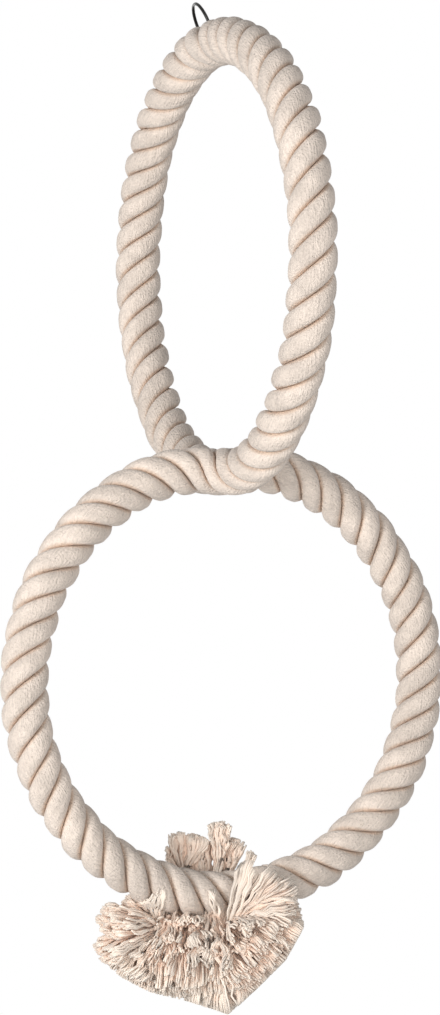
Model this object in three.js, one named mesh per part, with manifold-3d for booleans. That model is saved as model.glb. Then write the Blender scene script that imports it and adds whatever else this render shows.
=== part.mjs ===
// Bird rope with rings: one three-strand cotton rope bent into a figure of eight.
// The lower ring lies in the XZ plane and the upper ring in the YZ plane, a quarter turn apart.
// The rope's two ends meet at the bottom of the lower ring. There its six strand ends are
// tucked through the rope and combed out into a tassel. A wire ring passes under one strand
// near the top, and hangs on a hook. Millimetres and degrees, +Z up. The origin is the point
// inside the wire ring's top that bears on the hook.
import * as THREE from 'three';
import { mergeVertices } from 'three/addons/utils/BufferGeometryUtils.js';
import Module from 'manifold-3d';

// Rope
const ROPE_DIAMETER = 22;
const ROPE_LAY = 40;
const STRAND_COUNT = 3;
const STRAND_GAP = 0.3;
const CORE_RADIUS = 0.6;
const STEPS_PER_LAY = 8;
const LOWER_RING_RADIUS = 103.6;
const UPPER_RING_RADIUS = 104.7;
const RING_OVERLAP = 10.8;
const CROSSING_GAP = 0.8;
const JOIN_OFFSET = 20;
const JOIN_GAP = 0.3;

// A strand's section, as shares of the rope's radius and as angles round its bulge
const WALL_REACH = 0.74;
const BULGE_CENTRE = 0.46;
const BULGE_HEIGHT = 0.54;
const BULGE_WIDTH = 0.73;
const BULGE_ANGLES = [-52, 0, 52];

// Wire ring
const WIRE_DIAMETER = 1.6;
const WIRE_RING_RADIUS = 11;
const WIRE_JOINT_GAP = 0.4;
const RING_FROM_TOP = 5;
const RING_LEAN = 22;
const RING_YAW = 12;
const RING_SIDE_SHIFT = 1.7;
const RING_SWING = 45;
const HANG_TILT = 0.7;
const TUNNEL_CLEARANCE = 0.45;
const AXIS_MARGIN = 0.05;
const BORE_ANGLE = 18;
const ROOM_END_ANGLE = 105;

// Crossing stitch of waxed twine
const TWINE_DIAMETER = 1.8;
const STITCH_DEPTH = 4;
const STITCH_WIDTH = 6;

// Tassel: each tuft is tucked into the rope, comes out at its root and fans out to its trimmed
// end. Places are seen from the middle of the rope at the lower ring's lowest point.
const TUCK_DIAMETER = 6;
const SOFT_GAP = 0.3;
const TASSEL_REACH = 125;
const TUFTS = [
  {
    name: 'tassel_tuft_right',
    tuck: [13, 1, 4],
    root: [13, -7, -4],
    end: [23, -20, -16],
    wide: [0.2, 0, 1],
    halfWide: 19,
    halfThick: 14,
  },
  {
    name: 'tassel_tuft_bottom',
    tuck: [-5, 1, 3],
    root: [-7, -5, -8],
    end: [11, -18, -37],
    wide: [0.65, -0.25, 0.7],
    halfWide: 23,
    halfThick: 19,
  },
  {
    name: 'tassel_tuft_front_left',
    tuck: [-16, 1, 4],
    root: [-18, -5, -5],
    end: [-38, -22, -43],
    wide: [0.87, -0.38, -0.3],
    halfWide: 31,
    halfThick: 19,
  },
  {
    name: 'tassel_tuft_left',
    tuck: [-32, 1, 7],
    root: [-37, -6, -1],
    end: [-71, -12, -6],
    wide: [0, 0, 1],
    halfWide: 21,
    halfThick: 10,
  },
  {
    name: 'tassel_tuft_back_left',
    tuck: [-12, -1, 4],
    root: [-12, 13, 5],
    end: [-12, 24, 28],
    wide: [1, 0, 0],
    halfWide: 11,
    halfThick: 7,
  },
  {
    name: 'tassel_tuft_back_right',
    tuck: [5, -1, 4],
    root: [6, 13, 5],
    end: [7, 23, 34],
    wide: [1, 0, 0],
    halfWide: 9,
    halfThick: 7,
  },
];

// Facet counts
const WIRE_SIDES = 8;
const WIRE_STEPS = 32;
const SWING_STEPS = 5;
const ROOM_SIDES = 8;
const ROOM_STEPS = 14;
const TWINE_SIDES = 6;
const TUCK_SIDES = 6;
const TUFT_SIDES = 10;
const ENVELOPE_SIDES = 12;
const ENVELOPE_STEPS = 6;
const AVERAGE_STEPS = 64;

const COTTON = { color: 0xe3d5c4, roughness: 0.95, metalness: 0 };
const STEEL = { color: 0x34322f, roughness: 0.4, metalness: 0.9 };
const TWINE = { color: 0xcfc0a6, roughness: 0.8, metalness: 0 };

const wasm = await Module();
wasm.setup();

const radians = THREE.MathUtils.degToRad;
const vector = (x, y, z) => new THREE.Vector3(x, y, z);
const ropeRadius = ROPE_DIAMETER / 2;
const wireRadius = WIRE_DIAMETER / 2;

// Where two sharp routes cross at a right angle, averaging each over a stretch of this half
// length cuts its corner, and moves the two ropes one rope diameter and a gap apart.
const cornerCutShare = (1 / 2 - 2 / Math.PI ** 2) / Math.SQRT2;
const averageReach = (ROPE_DIAMETER + CROSSING_GAP) / (2 * cornerCutShare);

// Averaging also shrinks a ring, so the sharp route starts with larger ones.
function sharpRadius(radius) {
  const turn = averageReach / radius;
  const kept = Math.sin(turn) / turn / (1 - (turn / Math.PI) ** 2);
  return radius / kept;
}

const lowerSharp = sharpRadius(LOWER_RING_RADIUS);
const upperSharp = sharpRadius(UPPER_RING_RADIUS);
const upperLength = 2 * Math.PI * upperSharp;

// The rope's sharp route at a distance from the first crossing: round the lower ring, once
// round the upper ring, and round the lower ring again.
function sharpRoute(distance) {
  if (distance > 0 && distance < upperLength) {
    const turn = distance / upperSharp;
    return vector(0, -upperSharp * Math.sin(turn), upperSharp * (1 - Math.cos(turn)));
  }
  const past = distance <= 0 ? distance : distance - upperLength;
  const turn = past / lowerSharp;
  return vector(lowerSharp * Math.sin(turn), 0, lowerSharp * (Math.cos(turn) - 1));
}

// A step from 0 to 1 that is as smooth as the averaged route
function smoothStep(distance) {
  const u = THREE.MathUtils.clamp(distance / averageReach, -1, 1);
  return (1 + u + Math.sin(Math.PI * u) / Math.PI) / 2;
}

// The rope's centreline: the sharp route averaged with a raised-cosine weight, and the two
// rings drawn into each other by their overlap
function route(distance) {
  const sum = vector(0, 0, 0);
  for (let k = 1; k < AVERAGE_STEPS; k++) {
    const share = (2 * k) / AVERAGE_STEPS - 1;
    const weight = (1 + Math.cos(Math.PI * share)) / AVERAGE_STEPS;
    sum.addScaledVector(sharpRoute(distance + share * averageReach), weight);
  }
  const inUpper = smoothStep(distance) - smoothStep(distance - upperLength);
  sum.z += RING_OVERLAP * (0.5 - inUpper);
  return sum;
}

// A place on the tassel, seen from the middle of the rope at the lower ring's lowest point
function tasselPlace(place) {
  return vector(...place).add(route(-Math.PI * lowerSharp));
}

function direction(distance) {
  const nearby = 0.5;
  return route(distance + nearby).sub(route(distance - nearby)).normalize();
}

// Turns a side direction with the tangent, without twist
function carry(side, tangent) {
  return side.clone().addScaledVector(tangent, -side.dot(tangent)).normalize();
}

// Where the rope starts and finishes, as distances along its sharp route
function ropeReach() {
  const joinTurn = Math.asin(JOIN_OFFSET / LOWER_RING_RADIUS);
  return {
    start: -(Math.PI + joinTurn) * lowerSharp + JOIN_GAP / 2,
    finish: upperLength + (Math.PI - joinTurn) * lowerSharp - JOIN_GAP / 2,
  };
}

// Stations along the rope, spaced from the one under the wire ring, where side points out
function ropeStations() {
  const { start, finish } = ropeReach();
  const middle = upperSharp * (Math.PI + radians(RING_FROM_TOP));
  const walk = (limit) => {
    const count = Math.round((Math.abs(limit - middle) / ROPE_LAY) * STEPS_PER_LAY);
    const stations = [];
    let side = vector(0, Math.sin(radians(RING_FROM_TOP)), Math.cos(radians(RING_FROM_TOP)));
    let travelled = 0;
    let last = route(middle);
    for (let k = 0; k <= count; k++) {
      const distance = middle + ((limit - middle) * k) / count;
      const point = route(distance);
      const tangent = direction(distance);
      side = carry(side, tangent);
      travelled += Math.sign(limit - middle) * point.distanceTo(last);
      stations.push({ point, tangent, side, travelled });
      last = point;
    }
    return stations;
  };
  const before = walk(start).reverse();
  const after = walk(finish);
  return [...before, ...after.slice(1)];
}

// Prints the rope's length and the least gap between stretches of it that lie far apart
function reportRope(stations) {
  const length = stations.at(-1).travelled - stations[0].travelled;
  let least = Infinity;
  stations.forEach((one, i) => {
    for (const other of stations.slice(i)) {
      const apart = other.travelled - one.travelled;
      if (apart > 4 * ROPE_DIAMETER && apart < length - 4 * ROPE_DIAMETER) {
        least = Math.min(least, one.point.distanceTo(other.point) - ROPE_DIAMETER);
      }
    }
  });
  console.log(`rope ${length.toFixed(0)} mm long, least gap to itself ${least.toFixed(2)} mm`);
}

// The outline of one strand round the rope's axis: an inner tip, a flat wall against each
// neighbour and a bulging outside
function strandOutline() {
  const half = Math.PI / STRAND_COUNT;
  const wallShift = STRAND_GAP / 2;
  const wallPoint = (reach, sign) => new THREE.Vector2(
    reach * Math.cos(half) + wallShift * Math.sin(half),
    sign * (reach * Math.sin(half) - wallShift * Math.cos(half)),
  );
  const bulge = BULGE_ANGLES.map((degrees) => new THREE.Vector2(
    ropeRadius * (BULGE_CENTRE + BULGE_HEIGHT * Math.cos(radians(degrees))),
    ropeRadius * BULGE_WIDTH * Math.sin(radians(degrees)),
  ));
  return [
    new THREE.Vector2(CORE_RADIUS, 0),
    wallPoint(WALL_REACH * ropeRadius, -1),
    ...bulge,
    wallPoint(WALL_REACH * ropeRadius, 1),
  ];
}

function closedGeometry(positions, indices) {
  const geometry = new THREE.BufferGeometry();
  geometry.setAttribute('position', new THREE.Float32BufferAttribute(positions, 3));
  geometry.setIndex(indices);
  geometry.computeVertexNormals();
  return geometry;
}

// Joins rings of equally many points into a closed skin. falling(j) says which diagonal the
// facet beside point j takes, capFaces how the two ends are filled where a fan from their
// first point won't do. A loop of rings has no ends.
function skin(rings, { isLoop = false, falling = () => false, capFaces = null } = {}) {
  const size = rings[0].length;
  const positions = rings.flat().flatMap((point) => point.toArray());
  const indices = [];
  const bands = isLoop ? rings.length : rings.length - 1;
  for (let i = 0; i < bands; i++) {
    const next = (i + 1) % rings.length;
    for (let j = 0; j < size; j++) {
      const a = i * size + j;
      const b = i * size + ((j + 1) % size);
      const c = next * size + j;
      const d = next * size + ((j + 1) % size);
      indices.push(...(falling(j) ? [a, b, c, b, d, c] : [a, b, d, a, d, c]));
    }
  }
  if (!isLoop) {
    const last = (rings.length - 1) * size;
    const fan = Array.from({ length: size - 2 }, (_, j) => [0, j + 1, j + 2]);
    for (const [a, b, c] of capFaces ?? fan) {
      indices.push(a, c, b);
      indices.push(last + a, last + b, last + c);
    }
  }
  return closedGeometry(positions, indices);
}

// One strand, laid right-handed round the rope's centreline
function strandGeometry(stations, index) {
  const outline = strandOutline();
  const rings = stations.map(({ point, tangent, side, travelled }) => {
    const turn = 2 * Math.PI * (travelled / ROPE_LAY + index / STRAND_COUNT);
    const across = vector(0, 0, 0).crossVectors(tangent, side);
    const out = side.clone().multiplyScalar(Math.cos(turn)).addScaledVector(across, Math.sin(turn));
    const along = vector(0, 0, 0).crossVectors(tangent, out);
    return outline.map((p) => point.clone().addScaledVector(out, p.x).addScaledVector(along, p.y));
  });
  // Facing walls take the same diagonal, from the inner tip, so the gap between them stays.
  // The bulge takes the one that follows the lay.
  return skin(rings, { falling: (j) => j > 0 });
}

// A round wire or twine through the given points
function tubeGeometry(points, radius, sides, isLoop) {
  let side = null;
  const rings = points.map((point, i) => {
    const before = points[isLoop ? (i + points.length - 1) % points.length : Math.max(i - 1, 0)];
    const after = points[isLoop ? (i + 1) % points.length : Math.min(i + 1, points.length - 1)];
    const tangent = after.clone().sub(before).normalize();
    side = carry(side ?? anySide(tangent), tangent);
    const across = vector(0, 0, 0).crossVectors(tangent, side);
    return Array.from({ length: sides }, (_, j) => {
      const angle = (2 * Math.PI * j) / sides;
      return point.clone()
        .addScaledVector(side, radius * Math.cos(angle))
        .addScaledVector(across, radius * Math.sin(angle));
    });
  });
  return skin(rings, { isLoop });
}

function anySide(tangent) {
  return Math.abs(tangent.x) < 0.7 ? vector(1, 0, 0) : vector(0, 0, 1);
}

// The wire ring's place: its lowest point lies in the rope, and it leans to one side
function wireRingPlace() {
  const tilt = radians(RING_FROM_TOP);
  const outward = vector(0, Math.sin(tilt), Math.cos(tilt));
  const alongRope = vector(0, -Math.cos(tilt), Math.sin(tilt));
  const sideways = vector(1, 0, 0);
  const yaw = radians(RING_YAW);
  const axis = alongRope.clone().multiplyScalar(Math.cos(yaw)).addScaledVector(sideways, -Math.sin(yaw));
  const across = sideways.clone().multiplyScalar(Math.cos(yaw)).addScaledVector(alongRope, Math.sin(yaw));
  const lean = radians(RING_LEAN);
  const up = outward.clone().multiplyScalar(Math.cos(lean)).addScaledVector(across, -Math.sin(lean));
  const pivot = route(upperSharp * (Math.PI + tilt)).addScaledVector(sideways, RING_SIDE_SHIFT);
  return { pivot, axis, up };
}

// A point of the wire ring's plane, swung about the ring's lowest point: at a radius from the
// ring's centre and an angle from its lowest point, all angles in degrees
function wireRingPoint(place, swing, angle, radius) {
  const up = place.up.clone().applyAxisAngle(place.axis, radians(swing));
  return place.pivot.clone()
    .addScaledVector(up, WIRE_RING_RADIUS - radius * Math.cos(radians(angle)))
    .addScaledVector(place.axis, radius * Math.sin(radians(angle)));
}

// The wire's centreline from one angle to another
function wireArc(place, swing, from, to, steps) {
  return Array.from({ length: steps + 1 }, (_, k) => (
    wireRingPoint(place, swing, from + ((to - from) * k) / steps, WIRE_RING_RADIUS)
  ));
}

function solidOf(geometry) {
  const bare = geometry.clone();
  bare.deleteAttribute('normal');
  bare.deleteAttribute('uv');
  const merged = mergeVertices(bare);
  return new wasm.Manifold(new wasm.Mesh({
    numProp: 3,
    vertProperties: merged.attributes.position.array,
    triVerts: Uint32Array.from(merged.index.array),
  }));
}

function geometryOf(solid) {
  const mesh = solid.getMesh();
  return closedGeometry(Array.from(mesh.vertProperties), Array.from(mesh.triVerts));
}

// The room that the wire ring sweeps through as it swings to each side of upright: a curved
// wall of room for each leg, a round one at each limit, and a bore along the hinge's axis
function wireRingRoom(place) {
  const roomRadius = wireRadius + TUNNEL_CLEARANCE;
  const limits = [-RING_LEAN - RING_SWING, -RING_LEAN + RING_SWING];
  const outer = WIRE_RING_RADIUS + roomRadius;
  const inner = WIRE_RING_RADIUS - roomRadius;
  const clearOfAxis = THREE.MathUtils.radToDeg(Math.acos((WIRE_RING_RADIUS - AXIS_MARGIN) / outer));
  const wall = (sign) => {
    const steps = 5;
    const angles = (from) => Array.from(
      { length: steps + 1 },
      (_, k) => sign * THREE.MathUtils.lerp(from, ROOM_END_ANGLE, k / steps),
    );
    const outline = [
      ...angles(clearOfAxis).map((angle) => [angle, outer]),
      ...angles(BORE_ANGLE / 2).reverse().map((angle) => [angle, inner]),
    ];
    const swings = [];
    for (let k = 0; k <= SWING_STEPS; k++) {
      swings.push(THREE.MathUtils.lerp(limits[0], limits[1], k / SWING_STEPS));
    }
    if (sign < 0) swings.reverse();
    const rings = swings.map((swing) => (
      outline.map(([angle, radius]) => wireRingPoint(place, swing, angle, radius))
    ));
    const capFaces = [];
    for (let k = 0; k < steps; k++) {
      const facing = outline.length - 1 - k;
      capFaces.push([k, k + 1, facing], [k + 1, facing - 1, facing]);
    }
    return solidOf(skin(rings, { capFaces }));
  };
  let room = wall(1).add(wall(-1));
  for (const swing of limits) {
    const arc = wireArc(place, swing, -ROOM_END_ANGLE, ROOM_END_ANGLE, ROOM_STEPS);
    room = room.add(solidOf(tubeGeometry(arc, roomRadius, ROOM_SIDES, false)));
  }
  const boreReach = WIRE_RING_RADIUS * Math.sin(radians(BORE_ANGLE));
  const boreRise = WIRE_RING_RADIUS * (1 - Math.cos(radians(BORE_ANGLE)));
  const bore = [-1, 1].map((sign) => place.pivot.clone().addScaledVector(place.axis, sign * boreReach));
  return room.add(solidOf(tubeGeometry(bore, roomRadius + boreRise, ROOM_SIDES, false)));
}

// A loop of twine through both ropes where they press on each other
function stitchGeometry(radius) {
  const first = route(0);
  const second = route(upperLength);
  const middle = first.clone().add(second).multiplyScalar(0.5);
  const reach = second.clone().sub(first);
  const halfLength = reach.length() / 2 + STITCH_DEPTH;
  reach.normalize();
  const halfWidth = STITCH_WIDTH / 2;
  const points = [];
  const bendSteps = 6;
  for (const end of [1, -1]) {
    for (let k = 0; k <= bendSteps; k++) {
      const angle = (Math.PI * k) / bendSteps;
      points.push(middle.clone()
        .addScaledVector(reach, end * (halfLength - halfWidth + halfWidth * Math.sin(angle)))
        .addScaledVector(vector(0, 0, 1), end * halfWidth * Math.cos(angle)));
    }
  }
  return tubeGeometry(points, radius, TWINE_SIDES, true);
}

// The part of a tuft that is tucked through the rope, grown by an extra thickness
function tuckSolid(tuft, extra) {
  const tuck = tasselPlace(tuft.tuck);
  const root = tasselPlace(tuft.root);
  const run = root.clone().sub(tuck).normalize();
  const start = tuck.addScaledVector(run, -extra);
  const finish = root.addScaledVector(run, TUCK_DIAMETER / 2);
  return solidOf(tubeGeometry([start, finish], TUCK_DIAMETER / 2 + extra, TUCK_SIDES, false));
}

// The part of a tuft outside the rope: combed-out yarn, with an oval section that spreads from
// the root to a rounded, trimmed end
function fanSolid(tuft, extra) {
  const root = tasselPlace(tuft.root);
  const end = tasselPlace(tuft.end);
  const run = end.clone().sub(root).normalize();
  const wide = carry(vector(...tuft.wide), run);
  const thick = vector(0, 0, 0).crossVectors(run, wide);
  const stations = [
    { along: 0, spread: 0.12 },
    { along: 0.22, spread: 0.5 },
    { along: 0.5, spread: 0.82 },
    { along: 0.82, spread: 1 },
    { along: 1, spread: 0.8 },
  ];
  const rings = stations.map(({ along, spread }) => {
    const halfWide = THREE.MathUtils.lerp(TUCK_DIAMETER / 2, tuft.halfWide, spread) + extra;
    const halfThick = THREE.MathUtils.lerp(TUCK_DIAMETER / 2, tuft.halfThick, spread) + extra;
    const beyond = { 0: -extra, 1: extra }[along] ?? 0;
    const centre = root.clone().lerp(end, along).addScaledVector(run, beyond);
    return Array.from({ length: TUFT_SIDES }, (_, j) => {
      const angle = (2 * Math.PI * j) / TUFT_SIDES;
      return centre.clone()
        .addScaledVector(wide, halfWide * Math.cos(angle))
        .addScaledVector(thick, halfThick * Math.sin(angle));
    });
  });
  return solidOf(skin(rings));
}

// The round rope where the tassel lies against it, grown by the gap
function ropeEnvelope() {
  const { start } = ropeReach();
  const points = [];
  for (let k = -ENVELOPE_STEPS; k <= 2 * ENVELOPE_STEPS; k++) {
    points.push(route(start + (k * TASSEL_REACH) / (2 * ENVELOPE_STEPS)));
  }
  const radius = (ropeRadius + SOFT_GAP) / Math.cos(Math.PI / ENVELOPE_SIDES);
  return solidOf(tubeGeometry(points, radius, ENVELOPE_SIDES, false));
}

function namedMesh(name, geometry, finish) {
  const mesh = new THREE.Mesh(geometry, new THREE.MeshStandardMaterial(finish));
  mesh.name = name;
  return mesh;
}

// The tufts lie round the rope and share the room: each gives way to those before it.
function tuftMeshes() {
  const envelope = ropeEnvelope();
  let taken = null;
  return TUFTS.map((tuft) => {
    const fan = fanSolid(tuft, 0).subtract(envelope);
    const solid = fan.add(tuckSolid(tuft, 0));
    const grown = fanSolid(tuft, SOFT_GAP).add(tuckSolid(tuft, SOFT_GAP));
    const trimmed = taken ? solid.subtract(taken) : solid;
    taken = taken ? taken.add(grown) : grown;
    return namedMesh(tuft.name, geometryOf(trimmed), COTTON);
  });
}

function strandMeshes(place) {
  const stations = ropeStations();
  reportRope(stations);
  const twineRoom = solidOf(stitchGeometry(TWINE_DIAMETER / 2 + SOFT_GAP));
  let room = wireRingRoom(place).add(twineRoom);
  for (const tuft of TUFTS) {
    room = room.add(tuckSolid(tuft, SOFT_GAP));
  }
  return Array.from({ length: STRAND_COUNT }, (_, index) => {
    const strand = solidOf(strandGeometry(stations, index)).subtract(room);
    return namedMesh(`rope_strand_${index + 1}`, geometryOf(strand), COTTON);
  });
}

function wireRingMesh(place) {
  const halfGap = THREE.MathUtils.radToDeg(WIRE_JOINT_GAP / WIRE_RING_RADIUS / 2);
  const points = wireArc(place, 0, halfGap, 360 - halfGap, WIRE_STEPS);
  return namedMesh('hanging_ring', tubeGeometry(points, wireRadius, WIRE_SIDES, false), STEEL);
}

const ringPlace = wireRingPlace();
const hookPoint = ringPlace.pivot.clone()
  .addScaledVector(ringPlace.up, 2 * WIRE_RING_RADIUS - wireRadius);

const ropeGroup = new THREE.Group();
ropeGroup.add(...strandMeshes(ringPlace));
ropeGroup.add(namedMesh('crossing_stitch', stitchGeometry(TWINE_DIAMETER / 2), TWINE));
ropeGroup.add(...tuftMeshes());

// The rope hangs with its weight under the wire, turned a little about the wire ring's lowest
// point.
ropeGroup.quaternion.setFromAxisAngle(ringPlace.axis, radians(HANG_TILT));
ropeGroup.position.copy(ringPlace.pivot)
  .sub(ringPlace.pivot.clone().applyQuaternion(ropeGroup.quaternion));

const birdRope = new THREE.Group();
birdRope.add(wireRingMesh(ringPlace), ropeGroup);
birdRope.position.copy(hookPoint).negate();

export default birdRope;
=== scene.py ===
import math

import bpy
import numpy as np
from mathutils import Matrix, Vector


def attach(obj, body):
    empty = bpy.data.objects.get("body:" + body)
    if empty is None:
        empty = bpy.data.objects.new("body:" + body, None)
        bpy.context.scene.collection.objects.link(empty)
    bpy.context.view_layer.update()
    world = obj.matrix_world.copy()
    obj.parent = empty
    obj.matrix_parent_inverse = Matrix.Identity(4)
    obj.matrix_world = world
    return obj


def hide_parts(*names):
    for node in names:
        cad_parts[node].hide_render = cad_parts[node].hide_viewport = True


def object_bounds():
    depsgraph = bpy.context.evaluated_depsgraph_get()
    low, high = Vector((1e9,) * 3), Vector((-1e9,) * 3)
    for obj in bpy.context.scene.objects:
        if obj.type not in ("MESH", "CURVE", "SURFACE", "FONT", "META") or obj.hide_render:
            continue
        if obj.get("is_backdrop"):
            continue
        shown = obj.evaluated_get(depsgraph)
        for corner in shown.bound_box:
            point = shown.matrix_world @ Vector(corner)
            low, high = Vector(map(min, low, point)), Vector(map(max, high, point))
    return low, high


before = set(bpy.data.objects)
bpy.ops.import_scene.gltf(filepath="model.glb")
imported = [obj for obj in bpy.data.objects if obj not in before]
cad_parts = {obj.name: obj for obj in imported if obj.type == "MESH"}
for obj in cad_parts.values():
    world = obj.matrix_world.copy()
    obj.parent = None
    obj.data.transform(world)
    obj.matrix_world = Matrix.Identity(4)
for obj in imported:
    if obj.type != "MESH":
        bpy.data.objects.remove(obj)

bl_info = {
    "name": "Bird Rope With Rings",
    "version": (1, 0, 0),
    "blender": (4, 5, 0),
    "location": "View3D > Sidebar > Bird Rope",
    "description": "A cotton rope bent into two rings, with a combed-out tassel and a wire ring",
    "category": "Object",
}

# Lengths are in metres unless a comment says otherwise.

# The gap between the rope's two ends, and the gap between the rings where they cross
BLUNT_GAP = 0.0003
CROSSING_GAP = 0.0008
# The running average that rounds the rope's way through the crossing takes so many steps
AVERAGE_STEPS = 64
# The rope's direction is taken between two points this far before and behind
TANGENT_REACH = 0.0005

STRANDS = 3
# A strand's section. The tip is at the rope's axis, and flat walls run out from it, a little
# apart from the next strand's. The wall's points and the bulge are in shares of the rope's
# radius, and the bulge is a little squarer than an ellipse
TIP_FROM_AXIS = 0.0006
WALL_GAP = 0.00015
WALL_REACH = 0.70
WALL_POINTS = (0.35, 0.72, 1.0)
BULGE_CENTRE = 0.46
BULGE_OUT = 0.57
BULGE_WIDE = 0.66
BULGE_SQUARENESS = 0.92
BULGE_STEPS = 12
# Half the angle that the bulge goes round, and where the painted groove shade begins, in degrees
BULGE_ANGLE = 92
GROOVE_SHADE_ANGLE = 72
GROOVE_SHADE_FADE = 1.5

# The distance between two sections of the rope
SECTION_STEP = 0.00124
# How uneven the lay is, how uneven a strand's thickness, and the draws for both
UNEVEN_LAY = math.radians(2.5)
UNEVEN_STRAND = 0.025
ROPE_SEED = 3
# How far along the rope the strands' shift and their parting at the wire ring reach, and where
# the parting is. The wire ring passes between the last strand and the first, and this is how
# much each strand gives
SHIFT_REACH = 0.025
PARTING_AT = 0.0015
PARTING_REACH = 0.0075
PARTING_SHARE = (0.0, 0.75, 1.0)
# The texture of one strand starts this much further along than that of the one before
STRAND_TEXTURE_STEP = 1.7
# The rope's declared line has every fourth section's middle
LINE_STEP = 4

# The tassel's fans of yarn. Each runs from inside the rope, through a pinch, to its cut end.
# Places are in millimetres from the middle of the rope at the lower ring's lowest point, as
# (right, up, towards the viewer): start, pinch, end, the way the end is widest, half its width at
# the pinch, half its width and half its thickness at the end, the bow of the run, how many yarns,
# how many yarns to a lock, and how curly it is
FANS = {
    "tassel_tuft_right": (
        ((6, -3, 3), (-2, -15, 9), (34, -7, 14),
         (-0.2, 1, 0.1), 2.5, 11, 8, (0, 2, 5), 380, 12, 0.8),
        ((20, 8, 12), (-2, -14, 11), (26, -18, 24), (0.5, 0.8, 0), 1, 5, 3, (0, 0, 4), 50, 6, 0.6),
        ((16, 5, 10), (-1, -14, 12), (9, 18, 16),
         (1, -0.1, 0), 1.5, 4.5, 1.5, (0, 0, 5), 40, 8, 0.6),
        ((16, 5, 10), (-1, -14, 12), (20, 13, 14),
         (1, -0.4, 0), 1.5, 7, 1.5, (0, 0, 5), 46, 8, 0.6),
        ((16, 5, 10), (-1, -14, 12), (30, 8, 14), (1, -0.7, 0), 1.5, 6, 2, (0, 1, 5), 54, 8, 0.8),
    ),
    "tassel_tuft_bottom": (
        ((-2, -2, 2), (-2, -12, 8), (22, -36, 17),
         (0.7, 0.72, 0.1), 8, 27, 13, (0, 0, 0), 720, 4, 0.4),
        ((-2, -2, 2), (-2, -13, 9), (18, -29, 26),
         (0.7, 0.72, 0), 6, 21, 10, (0, 0, 0), 520, 4, 0.5),
        ((-2, -2, 2), (-1, -13, 10), (9, -20, 30), (0.7, 0.72, 0), 3, 11, 8, (0, 0, 0), 260, 6, 1),
        ((-6, -2, 2), (-4, -12, 6), (12, -48, 5),
         (0.7, 0.72, 0), 7, 22, 9, (0, 0, 4), 120, 10, 0.8),
        ((-2, -2, 2), (-4, -13, 13), (0, -57, 22), (1, 0, 0), 2, 7, 5, (-2, 0, 5), 150, 8, 1.2),
        ((-6, -2, 2), (-8, -12, 10), (-12, -56, 14),
         (1, -0.3, 0), 4, 10, 8, (0, 0, 2), 140, 6, 0.7),
        ((-8, -2, 6), (-11, -9, 13), (-11, -32, 26), (1, 0, 0), 5, 8, 8, (0, 0, 2), 280, 8, 2),
        ((-4, -2, 6), (-6, -11, 12), (-4, -34, 29), (1, 0.1, 0), 2, 6, 8, (0, 0, 2), 140, 7, 1.2),
        ((-2, -2, 2), (-5, -12, 13), (-10, 4, 17), (1, 0, 0), 1, 2.5, 1.5, (0, 0, 2), 26, 8, 0.8),
    ),
    "tassel_tuft_front_left": (
        ((-14, -3, 4), (-15, -11, 5), (-17, -50, 8),
         (1, -0.25, 0), 15, 28, 9, (0, 0, 4), 130, 6, 0.6),
        ((-14, -3, 4), (-17, -12, 8), (-19, -46, 19),
         (1, -0.28, 0), 13, 28, 13, (0, 0, 0), 640, 4, 0.4),
        ((-14, -3, 4), (-17, -12, 9), (-19, -37, 27),
         (1, -0.2, 0), 11, 24, 10, (0, 0, 0), 480, 5, 0.7),
        ((-20, -3, 6), (-21, -12, 12), (-23, -24, 30), (1, 0, 0), 6, 13, 8, (0, 0, 0), 280, 6, 1),
        ((-26, -3, 6), (-28, -9, 10), (-30, -12, 22), (1, 0, 0), 5, 6, 4, (0, 0, 0), 90, 8, 1),
        ((-20, -3, 6), (-20, -10, 11), (-21, -13, 26),
         (1, 0.1, 0), 7, 8, 6, (0, 0, 0), 220, 6, 0.8),
        ((-26, -3, 6), (-28, -11, 11), (-33, -30, 25),
         (0.25, 1, 0.3), 7, 13, 9, (0, 0, 2), 200, 6, 0.9),
        ((-32, -2, 10), (-34, -14, 11), (-53, -36, 19),
         (0.82, -0.57, 0), 3, 13, 12, (0, 0, 3), 290, 8, 1.2),
        ((-30, 2, 12), (-35, -11, 15), (-37, 8, 19),
         (1, 0, 0), 0.8, 4.5, 1.5, (0, 0, 2), 34, 3, 0.6),
    ),
    "tassel_tuft_left": (
        ((-34, 2, 12), (-36, -12, 12), (-60, -9, 25),
         (0.2, 1, 0), 3, 7.5, 14, (0, 0, 1), 480, 6, 0.5),
        ((-34, 2, 12), (-36, -15, 13), (-62, -24, 25),
         (-0.2, 1, 0), 3, 6.5, 14, (0, 0, 1), 480, 6, 0.5),
        ((-32, 0, 12), (-34, -14, 15), (-44, -12, 24),
         (0.5, 1, 0), 2, 7, 5, (0, 0, 3), 150, 10, 1.5),
        ((-34, 2, 12), (-36, -11, 12), (-51, 0, 14), (0.4, 1, 0), 2, 4, 5, (0, 0, 1), 170, 6, 0.6),
    ),
    "tassel_tuft_back_left": (
        ((-20, 4, 0), (-20, 9, -9), (-20.5, 23, -16),
         (1, 0, 0), 9, 10, 4, (0, 0, 0), 340, 12, 0.8),
        ((-22, 4, 2), (-22, 12, -8), (-19.3, 28.5, -10),
         (1, -0.03, 0.1), 2.2, 10, 2.5, (0, 0, 0), 320, 9, 0.6),
    ),
    "tassel_tuft_back_right": (
        ((-6, 4, 0), (-6.5, 9, -9), (-6, 24, -15), (1, 0, 0), 10, 11, 4, (0, 0, 0), 380, 12, 0.8),
        ((-7, 2, 2), (-5, 15, -8), (-4.5, 34.5, -9),
         (1, -0.25, 0), 2.4, 5.2, 2.5, (0, 0, 0), 190, 9, 0.7),
        ((-2, 2, 1), (-1, 10, -8), (3, 25.5, -12),
         (1, 0.05, 0), 2, 5.2, 2.5, (0, 0, 0), 160, 8, 0.6),
        ((4, 3, 0), (5, 10, -7), (12, 19, -6), (0.3, 1, 0), 1, 2.5, 2, (0, 1, 0), 40, 10, 0.5),
    ),
}
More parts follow.
